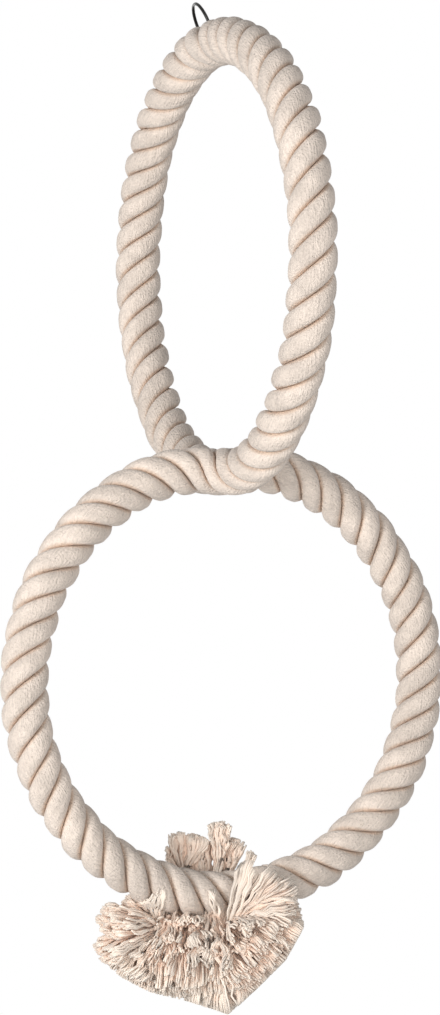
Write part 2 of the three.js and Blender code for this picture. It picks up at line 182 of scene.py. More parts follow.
# A yarn's points, the first of which lie in the rope and run to the pinch, and its sides
YARN_POINTS = 11
TUCKED_POINTS = 2
YARN_SIDES = 4
# A direction that yarns seldom take, to set their sides off from
SELDOM_ALONG = (0.31, 0.27, 0.91)
# How thick a yarn is at its start, how much thicker at its end, and how its tip tapers
YARN_START = 0.85
YARN_SWELL = 0.3
YARN_TIP = 0.8
# How wide and how loose a fan is along its run, as (share of the run, share of the whole)
FAN_WIDTH = ((0, 0.22, 0.5, 0.82, 1), (0.0, 0.42, 0.78, 1.0, 1.05))
FAN_LOOSE = ((0, 0.5, 0.9), (0, 0.1, 1))
# How far a yarn is drawn to the middle of its lock, and how much of the bow counts
DRAWN_TOGETHER = 0.75
BOW_SHARE = 0.6
# Half a fan's thickness at its pinch: at least this, and more for more yarns
PINCH_THICKNESS = 0.001
PINCH_GROWTH = 0.00004
# A lock's bend as a share of its length, the most curl that bends it, and how the bend eases
LOCK_BEND = 0.1
MOST_BENDING_CURL = 1.3
BEND_EASING = 0.45
# A lock's wave: its length, how far it swings, how unevenly, and how soon it is in full swing
WAVE_LENGTH = (0.007, 0.014)
WAVE_SWING = (0.4, 1.5)
WAVE_UNEVEN = 0.22
WAVE_ONSET = 3
# The lengths of locks and of the yarns in them, as shares, and how much the outer are shorter
LOCK_LENGTH = (0.93, 1.03)
YARN_LENGTH = (0.985, 1.01)
OUTER_SHORTER = 0.12
# The room between the rope and the yarns' middle lines
ROPE_CLEARANCE = 0.0006
# How unlike in tone the yarns and the locks are, and the least and the most tone
YARN_TONE = 0.045
LOCK_TONE = 0.06
TONE_RANGE = (0.8, 1.12)
# The part of the rope that the yarns are kept off, from its start, and how finely it is looked at
NEAR_ROPE = (-0.03, 0.14)
NEAR_ROPE_POINTS = 180
# The crowding of the yarns, which sets the painted shade deep in the tassel: the size of a cell,
# the cells averaged to each side, the filled share where it starts to count and over how much more
# it becomes full
CROWD_CELL = 0.0016
CROWD_SPREAD = 2
CROWD_FROM = 0.35
CROWD_OVER = 0.5
# The share of the front locks that are shorter, and how much shorter they are
SHORT_SHARE = 0.12
SHORT_BY = 0.25
# The hollows in the front of the tassel, as they look, in millimetres: right, up, half width and
# half height. The yarns that end in one keep only this share of their length
HOLLOWS = ((-52, -9, 2.8, 3.3), (-58, -23, 5, 2.5), (-41, -16, 5.5, 4.2), (-43, -35, 4.2, 4.8),
           (-44, -24, 3.2, 2.8), (-28, -10, 3, 2.5), (-22, -21, 2.6, 5), (-24, -34, 3.2, 5),
           (-14, -37, 2.6, 5), (-7, -36, 2.4, 5.5), (3, -33, 3, 4.5), (15, -19, 3.6, 2.6),
           (-30, -42, 3.5, 1.8), (-10, -25, 2, 5), (4, -22, 2.2, 4), (-17, -29, 2, 3))
HOLLOW_KEPT = 0.42
# How much lower a place looks for each millimetre that it is nearer to the viewer
SEEN_LOWER = 0.146
# The outline that the front of the tassel is cut to, as it looks, as (right, up)
CUT_OUTLINE = ((-49, -2), (-63, -3), (-67, -20), (-66, -29), (-52, -39.5), (-39, -46.5),
               (-20, -51.5), (-2, -57.5), (11, -46.5), (26, -32), (34.5, -17), (35, -4),
               (29, 12), (14, 22))

# The soft lamps: name, place as seen from where they aim, width and watts
LAMP_AIM = (0, 0, -0.25)
LAMPS = (
    ("key_softbox", (-1.85, -0.8, 0.1), 0.8, 29),
    ("fill_softbox", (-0.5, -2.1, -0.15), 1.9, 27),
    ("back_softbox", (0.8, 2.0, 0.3), 1.9, 26),
)
FLOOR_RADIUS = 0.78
# How much more the rope's fibres stand out than its yarns
FIBRE_RELIEF = 1.3
# The colour of the seed flecks in the cotton, and the two colours of the twine
SEED_FLECK = (0.33, 0.25, 0.18)
TWINE_DARK = (0.55, 0.46, 0.34)
TWINE_PALE = (0.72, 0.62, 0.48)
# The backdrop's light from straight below and from straight above, and what brightens the floor
# where it is seen
LIGHT_BELOW = 0.60
LIGHT_ABOVE = 0.17
FLOOR_GLOW = 0.45


class BIRDROPE_PG_rope(bpy.types.PropertyGroup):
    """The three-strand rope and the two rings it makes"""

    diameter: bpy.props.FloatProperty(
        name="Rope diameter", description="Across the crowns of the strands",
        default=0.022, min=0.01, max=0.04, unit="LENGTH")
    lay: bpy.props.FloatProperty(
        name="Lay", description="Length of rope in which a strand goes round once",
        default=0.040, min=0.02, max=0.09, unit="LENGTH")
    lower_radius: bpy.props.FloatProperty(
        name="Lower ring radius", description="To the middle of the rope",
        default=0.1036, min=0.05, max=0.2, unit="LENGTH")
    upper_radius: bpy.props.FloatProperty(
        name="Upper ring radius", description="To the middle of the rope",
        default=0.1047, min=0.05, max=0.2, unit="LENGTH")
    overlap: bpy.props.FloatProperty(
        name="Ring overlap", description="How far the two rings are drawn into each other",
        default=0.0108, min=0.0, max=0.03, unit="LENGTH")
    join_offset: bpy.props.FloatProperty(
        name="Join offset",
        description="From the lower ring's lowest point to where the rope's ends meet",
        default=0.020, min=0.0, max=0.05, unit="LENGTH")
    leg_parting: bpy.props.FloatProperty(
        name="Parting at the wire",
        description="Most turn of a strand away from the wire ring's far leg",
        default=math.radians(40), unit="ROTATION")
    leg_shift: bpy.props.FloatProperty(
        name="Shift at the wire", description="Turn of all the strands where the wire ring passes",
        default=math.radians(65), unit="ROTATION")
    cotton: bpy.props.FloatVectorProperty(
        name="Cotton", description="Colour of the undyed cotton on the crowns",
        default=(0.76, 0.655, 0.57), min=0.0, max=1.0, subtype="COLOR")
    # Painted shade for the grooves between the strands, darker and browner than the crowns
    groove_shade: bpy.props.FloatVectorProperty(
        name="Groove", description="Colour deep between the strands",
        default=(0.67, 0.49, 0.36), min=0.0, max=1.0, subtype="COLOR")


class BIRDROPE_PG_ring(bpy.types.PropertyGroup):
    """The wire ring that the rope hangs by"""

    wire: bpy.props.FloatProperty(
        name="Wire", description="Thickness of the wire",
        default=0.0016, min=0.0008, max=0.004, unit="LENGTH")
    radius: bpy.props.FloatProperty(
        name="Ring radius", description="To the middle of the wire",
        default=0.011, min=0.005, max=0.03, unit="LENGTH")
    from_top: bpy.props.FloatProperty(
        name="From the top", description="Turn along the upper ring from its highest point",
        default=math.radians(5), unit="ROTATION")
    lean: bpy.props.FloatProperty(
        name="Lean", description="How far the wire ring leans to one side",
        default=math.radians(22), unit="ROTATION")
    yaw: bpy.props.FloatProperty(
        name="Yaw", description="Turn of the wire ring against the rope",
        default=math.radians(12), unit="ROTATION")
    side_shift: bpy.props.FloatProperty(
        name="Side shift", description="From the middle of the rope to the wire's lowest point",
        default=0.0017, unit="LENGTH")
    hang_tilt: bpy.props.FloatProperty(
        name="Hang tilt",
        description="Turn of the rope about the wire, which puts its weight below it",
        default=math.radians(0.7), unit="ROTATION")
    steel: bpy.props.FloatVectorProperty(
        name="Steel", description="Colour of the dark steel wire",
        default=(0.03, 0.029, 0.028), min=0.0, max=1.0, subtype="COLOR")


class BIRDROPE_PG_tassel(bpy.types.PropertyGroup):
    """The combed-out ends of the strands"""

    yarn: bpy.props.FloatProperty(
        name="Yarn", description="Thickness of one yarn",
        default=0.001, min=0.0004, max=0.002, unit="LENGTH")
    wave: bpy.props.FloatProperty(
        name="Wave", description="How far a yarn waves to each side",
        default=0.0008, min=0.0, max=0.003, unit="LENGTH")
    cotton: bpy.props.FloatVectorProperty(
        name="Cotton", description="Colour of the yarns",
        default=(0.86, 0.755, 0.655), min=0.0, max=1.0, subtype="COLOR")
    # Painted shade: the colour that the yarns are mixed to where they lie deep among the others
    shade: bpy.props.FloatVectorProperty(
        name="Shade", description="Colour of the yarns deep in the tassel",
        default=(0.80, 0.58, 0.45), min=0.0, max=1.0, subtype="COLOR")
    seed: bpy.props.IntProperty(
        name="Seed", description="Another number lays the yarns another way", default=7, min=0)


class BIRDROPE_PG_stage(bpy.types.PropertyGroup):
    """The camera, the lamps and the floor"""

    focal_length: bpy.props.FloatProperty(
        name="Focal length", description="Of the camera, in millimetres", default=115.14, min=20.0)
    distance: bpy.props.FloatProperty(
        name="Distance", description="From the camera to the middle of the toy",
        default=1.570185, min=0.5, unit="LENGTH")
    azimuth: bpy.props.FloatProperty(
        name="Azimuth", description="Turn of the camera round the toy",
        default=math.radians(-23.516), unit="ROTATION")
    elevation: bpy.props.FloatProperty(
        name="Elevation", description="Height angle of the camera",
        default=math.radians(0.0627), unit="ROTATION")
    roll: bpy.props.FloatProperty(
        name="Roll", description="Turn of the camera about its own line of sight",
        default=math.radians(-0.2229), unit="ROTATION")
    aim: bpy.props.FloatVectorProperty(
        name="Aim", description="Point that the camera looks at",
        default=(0.01025, -0.00446, -0.24255), subtype="TRANSLATION")
    floor_drop: bpy.props.FloatProperty(
        name="Floor drop", description="From the tassel to the floor", default=0.16, min=0.0,
        unit="LENGTH")
    floor: bpy.props.FloatVectorProperty(
        name="Floor", description="Colour of the floor",
        default=(0.86, 0.86, 0.85), min=0.0, max=1.0, subtype="COLOR")


# ---- placing

def deselect():
    for thing in bpy.context.selected_objects:
        thing.select_set(False)
    bpy.context.view_layer.objects.active = None


def mesh_object(name, points, faces):
    """A new smooth-shaded object from points and faces; the object sits at the origin"""
    mesh = bpy.data.meshes.new(name)
    mesh.from_pydata([tuple(p) for p in points], [], [tuple(f) for f in faces])
    mesh.update()
    mesh.polygons.foreach_set("use_smooth", [True] * len(mesh.polygons))
    thing = bpy.data.objects.new(name, mesh)
    bpy.context.scene.collection.objects.link(thing)
    return thing


def point_values(thing, name, values):
    attribute = thing.data.attributes.new(name, "FLOAT", "POINT")
    attribute.data.foreach_set("value", np.asarray(values, dtype=np.float32))


def carry(side, tangent):
    """Turns a side direction with the tangent, without twist"""
    side = side - tangent * side.dot(tangent)
    return side.normalized()


class Route:
    """The middle line of the rope, seen from the crossing of the rings, and how it hangs"""

    def __init__(self):
        rope = bpy.context.scene.bird_rope
        self.rope = rope
        # How far the average cuts the crossing's corner, as a share of its reach
        corner_cut = (0.5 - 2 / math.pi ** 2) / math.sqrt(2)
        self.reach = (rope.diameter + CROSSING_GAP) / (2 * corner_cut)
        self.lower = self.sharp_radius(rope.lower_radius)
        self.upper = self.sharp_radius(rope.upper_radius)
        self.upper_length = 2 * math.pi * self.upper
        self.place_wire_ring()

    def sharp_radius(self, radius):
        turn = self.reach / radius
        kept = math.sin(turn) / turn / (1 - (turn / math.pi) ** 2)
        return radius / kept

    def sharp(self, distance):
        in_upper = (distance > 0) & (distance < self.upper_length)
        up = distance / self.upper
        past = np.where(distance <= 0, distance, distance - self.upper_length) / self.lower
        zero = np.zeros_like(distance)
        above = np.stack([zero, -self.upper * np.sin(up), self.upper * (1 - np.cos(up))], -1)
        below = np.stack([self.lower * np.sin(past), zero, self.lower * (np.cos(past) - 1)], -1)
        return np.where(in_upper[..., None], above, below)

    def smooth_step(self, distance):
        u = np.clip(distance / self.reach, -1, 1)
        return (1 + u + np.sin(np.pi * u) / np.pi) / 2

    def at(self, distance):
        distance = np.asarray(distance, float)
        total = np.zeros(distance.shape + (3,))
        for k in range(1, AVERAGE_STEPS):
            share = 2 * k / AVERAGE_STEPS - 1
            weight = (1 + math.cos(math.pi * share)) / AVERAGE_STEPS
            total += weight * self.sharp(distance + share * self.reach)
        in_upper = self.smooth_step(distance) - self.smooth_step(distance - self.upper_length)
        total[..., 2] += self.rope.overlap * (0.5 - in_upper)
        return total

    def ends(self):
        turn = math.asin(self.rope.join_offset / self.rope.lower_radius)
        return (-(math.pi + turn) * self.lower + BLUNT_GAP / 2,
                self.upper_length + (math.pi - turn) * self.lower - BLUNT_GAP / 2)

    def place_wire_ring(self):
        ring = bpy.context.scene.bird_rope_ring
        tilt = ring.from_top
        outward = Vector((0, math.sin(tilt), math.cos(tilt)))
        along = Vector((0, -math.cos(tilt), math.sin(tilt)))
        sideways = Vector((1, 0, 0))
        self.hinge = along * math.cos(ring.yaw) - sideways * math.sin(ring.yaw)
        across = sideways * math.cos(ring.yaw) + along * math.sin(ring.yaw)
        self.ring_up = outward * math.cos(ring.lean) - across * math.sin(ring.lean)
        middle = Vector(self.at(self.upper * (math.pi + tilt)))
        self.pivot = middle + sideways * ring.side_shift
        self.hook = self.pivot + self.ring_up * (2 * ring.radius - ring.wire / 2)
        self.turn = Matrix.Rotation(ring.hang_tilt, 3, self.hinge)

    def hang(self, points):
        """Points seen from the crossing, moved to where they hang under the hook"""
        turn = np.array(self.turn)
        pivot = np.array(self.pivot)
        return (np.asarray(points, float) - pivot) @ turn.T + pivot - np.array(self.hook)

    def tassel_start(self):
        return self.at(-math.pi * self.lower)

    def stations(self, step):
        """Points, tangents, sides and distances travelled along the rope, from end to end"""
        ring = bpy.context.scene.bird_rope_ring
        start, finish = self.ends()
        middle = self.upper * (math.pi + ring.from_top)

        def walk(limit):
            count = int(round(abs(limit - middle) / step))
            distance = np.linspace(middle, limit, count + 1)
            points = self.at(distance)
            tangents = self.at(distance + TANGENT_REACH) - self.at(distance - TANGENT_REACH)
            tangents /= np.linalg.norm(tangents, axis=1)[:, None]
            side = Vector((0, math.sin(ring.from_top), math.cos(ring.from_top)))
            sides = []
            for tangent in tangents:
                side = carry(side, Vector(tangent))
                sides.append(tuple(side))
            steps = np.linalg.norm(np.diff(points, axis=0), axis=1)
            travelled = np.concatenate([[0], np.cumsum(steps)]) * math.copysign(1, limit - middle)
            return points, tangents, np.array(sides), travelled

        before = [part[::-1] for part in walk(start)]
        after = walk(finish)
        return [np.concatenate([a, b[1:]]) for a, b in zip(before, after)]


# ---- finishes

def finish_material(name, constants):
    """A new material, its nodes, links and shader, with constant values set on the shader"""
    material = bpy.data.materials.new(name)
    material.use_nodes = True
    nodes = material.node_tree.nodes
    shader = nodes["Principled BSDF"]
    for socket, value in constants.items():
        shader.inputs[socket].default_value = value
    return material, nodes, material.node_tree.links, shader


def noise(nodes, links, place, **values):
    texture = nodes.new("ShaderNodeTexNoise")
    for socket, value in values.items():
        texture.inputs[socket].default_value = value
    links.new(place, texture.inputs["Vector"])
    return texture.outputs["Fac"]


def ranged(nodes, links, value, to_range, from_range=(0.0, 1.0)):
    """A value carried from one range to another"""
    node = nodes.new("ShaderNodeMapRange")
    for socket, end in zip(("From Min", "From Max", "To Min", "To Max"), from_range + to_range):
        node.inputs[socket].default_value = end
    links.new(value, node.inputs["Value"])
    return node.outputs["Result"]


def reckoned(nodes, links, operation, first, second):
    node = nodes.new("ShaderNodeMath")
    node.operation = operation
    links.new(first, node.inputs[0])
    links.new(second, node.inputs[1])
    return node.outputs["Value"]


def mixed(nodes, links, share, first, second):
    """A mix of two colours, each a constant or a socket"""
    node = nodes.new("ShaderNodeMix")
    node.data_type = "RGBA"
    for socket, colour in (("A", first), ("B", second)):
        if isinstance(colour, bpy.types.NodeSocket):
            links.new(colour, node.inputs[socket])
        else:
            node.inputs[socket].default_value = (*colour, 1)
    links.new(share, node.inputs["Factor"])
    return node.outputs["Result"]


def toned(nodes, links, colour, tone):
    node = nodes.new("ShaderNodeVectorMath")
    node.operation = "SCALE"
    links.new(colour, node.inputs[0])
    links.new(tone, node.inputs["Scale"])
    return node.outputs["Vector"]


def bumped(nodes, links, shader, height, distance):
    bump = nodes.new("ShaderNodeBump")
    bump.inputs["Strength"].default_value = 1.0
    bump.inputs["Distance"].default_value = distance
    links.new(height, bump.inputs["Height"])
    links.new(bump.outputs["Normal"], shader.inputs["Normal"])


def point_value(nodes, name):
    node = nodes.new("ShaderNodeAttribute")
    node.attribute_name = name
    return node.outputs["Fac"]


def object_place(nodes):
    return nodes.new("ShaderNodeTexCoord").outputs["Object"]


def cotton_rope_material():
    rope = bpy.context.scene.bird_rope
    material, nodes, links, shader = finish_material("undyed_cotton_rope", {
        "Roughness": 0.9, "Sheen Weight": 0.25, "Sheen Roughness": 0.6,
        "Specular IOR Level": 0.2})
    lay = nodes.new("ShaderNodeUVMap")
    lay.uv_map = "lay"
    stretch = nodes.new("ShaderNodeMapping")
    stretch.inputs["Scale"].default_value = (160, 1300, 1)
    links.new(lay.outputs["UV"], stretch.inputs["Vector"])
    place = object_place(nodes)
    yarns = noise(nodes, links, stretch.outputs["Vector"], Scale=1.0, Detail=3.0)
    fibres = noise(nodes, links, place, Scale=900.0, Detail=4.0)
    patches = noise(nodes, links, place, Scale=75.0, Detail=2.5)

    middle = (0.3, 0.7)
    streaks = ranged(nodes, links, yarns, (0.87, 1.06), middle)
    cloudy = ranged(nodes, links, patches, (0.86, 1.10), middle)
    fuzzy = ranged(nodes, links, fibres, (0.90, 1.07), middle)
    tone = reckoned(nodes, links, "MULTIPLY", streaks, cloudy)
    tone = reckoned(nodes, links, "MULTIPLY", tone, fuzzy)
    # The crowns keep the cotton's colour, and towards the strand walls it is mixed into the
    # painted groove shade
    cotton = mixed(nodes, links, point_value(nodes, "groove_shade"), rope.cotton, rope.groove_shade)
    cotton = toned(nodes, links, cotton, tone)

    seeds = nodes.new("ShaderNodeTexVoronoi")
    seeds.inputs["Scale"].default_value = 220.0
    links.new(place, seeds.inputs["Vector"])
    flecks = ranged(nodes, links, seeds.outputs["Distance"], (0.55, 0.0), (0.06, 0.10))
    links.new(mixed(nodes, links, flecks, cotton, SEED_FLECK), shader.inputs["Base Color"])

    relief = nodes.new("ShaderNodeMath")
    relief.operation = "MULTIPLY_ADD"
    relief.inputs[1].default_value = FIBRE_RELIEF
    links.new(fibres, relief.inputs[0])
    links.new(yarns, relief.inputs[2])
    bumped(nodes, links, shader, relief.outputs["Value"], 0.0007)
    return material


def tassel_material():
    tassel = bpy.context.scene.bird_rope_tassel
    material, nodes, links, shader = finish_material("combed_cotton_yarn", {
        "Roughness": 0.95, "Sheen Weight": 0.3, "Sheen Roughness": 0.6,
        "Specular IOR Level": 0.15})
    # Yarns deep among the others are mixed towards the painted shade colour
    cotton = mixed(nodes, links, point_value(nodes, "crowd_shade"), tassel.cotton, tassel.shade)
    cotton = toned(nodes, links, cotton, point_value(nodes, "tone"))
    links.new(cotton, shader.inputs["Base Color"])
    fibres = noise(nodes, links, object_place(nodes), Scale=1400.0, Detail=3.0)
    bumped(nodes, links, shader, fibres, 0.0002)
    return material


def steel_material():
    ring = bpy.context.scene.bird_rope_ring
    material, nodes, links, shader = finish_material("dark_steel_wire", {
        "Metallic": 1.0, "Base Color": (*ring.steel, 1)})
    wear = noise(nodes, links, object_place(nodes), Scale=700.0, Detail=4.0)
    links.new(ranged(nodes, links, wear, (0.22, 0.45)), shader.inputs["Roughness"])
    return material


# ---- pieces

def strand_section(radius):
    """One strand's outline round the rope's axis, as (out, across, share of painted groove shade)
    from its inner tip
    """
    half = math.pi / STRANDS
    wall_reach = WALL_REACH * radius
    side = []
    for share in WALL_POINTS:
        reach = wall_reach * share
        side.append((reach * math.cos(half) + WALL_GAP * math.sin(half),
                     reach * math.sin(half) - WALL_GAP * math.cos(half), 1.0))
    bulge = []
    for k in range(1, BULGE_STEPS + 1):
        angle = math.radians(BULGE_ANGLE) * (1 - k / BULGE_STEPS)
        # The painted groove shade starts at the groove angle and is full at the strand's walls
        groove_shade = max(0.0, (math.degrees(angle) - GROOVE_SHADE_ANGLE) / (BULGE_ANGLE - GROOVE_SHADE_ANGLE))
        out = math.copysign(abs(math.cos(angle)) ** BULGE_SQUARENESS, math.cos(angle))
        wide = radius * BULGE_WIDE * math.sin(angle) ** BULGE_SQUARENESS
        bulge.append((radius * (BULGE_CENTRE + BULGE_OUT * out), wide, groove_shade ** GROOVE_SHADE_FADE))
    right = side + bulge
    left = [(out, -wide, groove_shade) for out, wide, groove_shade in right]
    return [(TIP_FROM_AXIS, 0.0, 1.0)] + left + right[-2::-1]


def wobble(travelled, rng, waves=9, longest=0.30, shortest=0.03, calmed=1.6):
    """A smooth random value along the rope, mostly between -1 and 1"""
    total = np.zeros_like(travelled)
    for _ in range(waves):
        length = math.exp(rng.uniform(math.log(shortest), math.log(longest)))
        total += np.sin(travelled / length * 2 * math.pi + rng.uniform(0, 2 * math.pi))
    return total / math.sqrt(waves / 2) / calmed


class BIRDROPE_OT_rope(bpy.types.Operator):
    """Lays the cotton rope: three strands along the route of the two rings"""

    bl_idname = "bird_rope.rope"
    bl_label = "Cotton Rope"

    def execute(self, context):
        rope = context.scene.bird_rope
        route = Route()
        rng = np.random.default_rng(ROPE_SEED)
        points, tangents, sides, travelled = route.stations(SECTION_STEP)
        across = np.cross(tangents, sides)
        section = strand_section(rope.diameter / 2)
        size = len(section)
        rows = len(points)
        all_points = []
        all_faces = []
        groove_shades = []
        uv_of_point = []
        shift = UNEVEN_LAY * wobble(travelled, rng)
        shift += rope.leg_shift * np.exp(-(travelled / SHIFT_REACH) ** 2)
        parted = rope.leg_parting * np.exp(-((travelled - PARTING_AT) / PARTING_REACH) ** 2)
        for strand in range(STRANDS):
            fuller = 1 + UNEVEN_STRAND * wobble(travelled, rng)
            turn = 2 * math.pi * (travelled / rope.lay + strand / STRANDS) + shift
            turn -= parted * PARTING_SHARE[strand]
            out = sides * np.cos(turn)[:, None] + across * np.sin(turn)[:, None]
            beside = np.cross(tangents, out)
            block = np.empty((rows, size, 3))
            block_uv = np.empty((rows, size, 2))
            for j, (far, wide, groove_shade) in enumerate(section):
                swell = 1 + (fuller - 1) * (1 - groove_shade)
                block[:, j] = points + out * (far * swell)[:, None] \
                    + beside * (wide * swell)[:, None]
                angle = turn + math.atan2(wide, far)
                block_uv[:, j, 0] = travelled + strand * STRAND_TEXTURE_STEP
                block_uv[:, j, 1] = angle * rope.diameter / 2
            all_points.append(block.reshape(-1, 3))
            uv_of_point.append(block_uv.reshape(-1, 2))
            # Each point's share of the painted groove shade, kept for the material
            groove_shades += [groove_shade for _, _, groove_shade in section] * rows
            first = strand * rows * size
            for i in range(rows - 1):
                here = first + i * size
                there = here + size
                for j in range(size):
                    k = (j + 1) % size
                    all_faces.append((here + j, here + k, there + k, there + j))
            all_faces.append(tuple(first + j for j in range(size))[::-1])
            last = first + (rows - 1) * size
            all_faces.append(tuple(last + j for j in range(size)))
        placed = route.hang(np.concatenate(all_points))
        piece = mesh_object("cotton_rope", placed, all_faces)
        point_values(piece, "groove_shade", groove_shades)
        uv = np.concatenate(uv_of_point)
        layer = piece.data.uv_layers.new(name="lay")
        corner = np.empty(len(piece.data.loops), dtype=np.int32)
        piece.data.loops.foreach_get("vertex_index", corner)
        layer.data.foreach_set("uv", uv[corner].astype(np.float32).ravel())
        piece.data.materials.append(cotton_rope_material())
        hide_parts("rope_strand_1", "rope_strand_2", "rope_strand_3")
        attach(piece, "rope")
        context.scene["rope_length"] = float(travelled[-1] - travelled[0])
        context.scene["rope_line"] = route.hang(points[::LINE_STEP]).ravel().tolist()
        return {"FINISHED"}


class BIRDROPE_OT_hanging_ring(bpy.types.Operator):
    """Bends the wire ring that the rope hangs by"""

    bl_idname = "bird_rope.hanging_ring"
    bl_label = "Hanging Ring"

    def execute(self, context):
        ring = context.scene.bird_rope_ring
        route = Route()
        deselect()
        centre = route.pivot + route.ring_up * ring.radius - route.hook
        away = route.hinge.cross(route.ring_up)
        frame_of_ring = Matrix((route.hinge, route.ring_up, away)).transposed()
        bpy.ops.mesh.primitive_torus_add(
            major_segments=144, minor_segments=20, major_radius=ring.radius,
            minor_radius=ring.wire / 2, location=centre, rotation=frame_of_ring.to_euler())
        piece = context.active_object
        piece.name = "wire_hanging_ring"
        bpy.ops.object.transform_apply(location=True, rotation=True, scale=True)
        bpy.ops.object.shade_smooth()
        piece.data.materials.append(steel_material())
        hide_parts("hanging_ring")
        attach(piece, "hanger")
        deselect()
        return {"FINISHED"}


def crowding(lines):
    """How deep among the others each point of the yarns lies, from 0 in the open to 1"""
    low = lines.min((0, 1)) - 4 * CROWD_CELL
    size = np.ceil((lines.max((0, 1)) - low) / CROWD_CELL).astype(int) + 5
    filled = np.zeros(size)
    place = ((lines - low) / CROWD_CELL).astype(int)
    halfway = ((lines[:, 1:] + lines[:, :-1]) / 2 - low) / CROWD_CELL
    for spots in (place, halfway.astype(int)):
        filled[spots[..., 0], spots[..., 1], spots[..., 2]] = 1
    for axis in range(3):
        total = np.zeros(size)
        for shift in range(-CROWD_SPREAD, CROWD_SPREAD + 1):
            total += np.roll(filled, shift, axis)
        filled = total / (2 * CROWD_SPREAD + 1)
    found = filled[place[..., 0], place[..., 1], place[..., 2]]
    return np.clip((found - CROWD_FROM) / CROWD_OVER, 0, 1)


def yarn_tubes(name, lines, radius, tones):
    """Joins many yarns of equally many points into one object"""
    count, steps, _ = lines.shape
    tangent = np.gradient(lines, axis=1)
    tangent /= np.linalg.norm(tangent, axis=2)[..., None]
    side = np.cross(tangent, SELDOM_ALONG)
    side /= np.linalg.norm(side, axis=2)[..., None]
    other = np.cross(tangent, side)
    thickness = radius * (YARN_START + YARN_SWELL * np.linspace(0, 1, steps))
    thickness[-1] *= YARN_TIP
    rings = []
    for j in range(YARN_SIDES):
        angle = 2 * math.pi * j / YARN_SIDES
        outward = side * math.cos(angle) + other * math.sin(angle)
        rings.append(lines + outward * thickness[None, :, None])
    points = np.stack(rings, axis=2).reshape(-1, 3)
    one = []
    for i in range(steps - 1):
        here, there = i * YARN_SIDES, (i + 1) * YARN_SIDES
        for j in range(YARN_SIDES):
            k = (j + 1) % YARN_SIDES
            one.append((here + j, here + k, there + k, there + j))
    first_points = np.arange(count) * steps * YARN_SIDES
    faces = (np.array(one)[None] + first_points[:, None, None]).reshape(-1, 4).tolist()
    start_cap = list(range(YARN_SIDES))[::-1]
    end_cap = [(steps - 1) * YARN_SIDES + j for j in range(YARN_SIDES)]
    for first in first_points.tolist():
        faces.append([first + v for v in start_cap])
        faces.append([first + v for v in end_cap])
    piece = mesh_object(name, points, faces)
    # The crowding is kept as each point's share of painted shade
    point_values(piece, "crowd_shade", np.repeat(crowding(lines), YARN_SIDES, axis=1).ravel())
    point_values(piece, "tone", np.repeat(tones, steps * YARN_SIDES))
    return piece


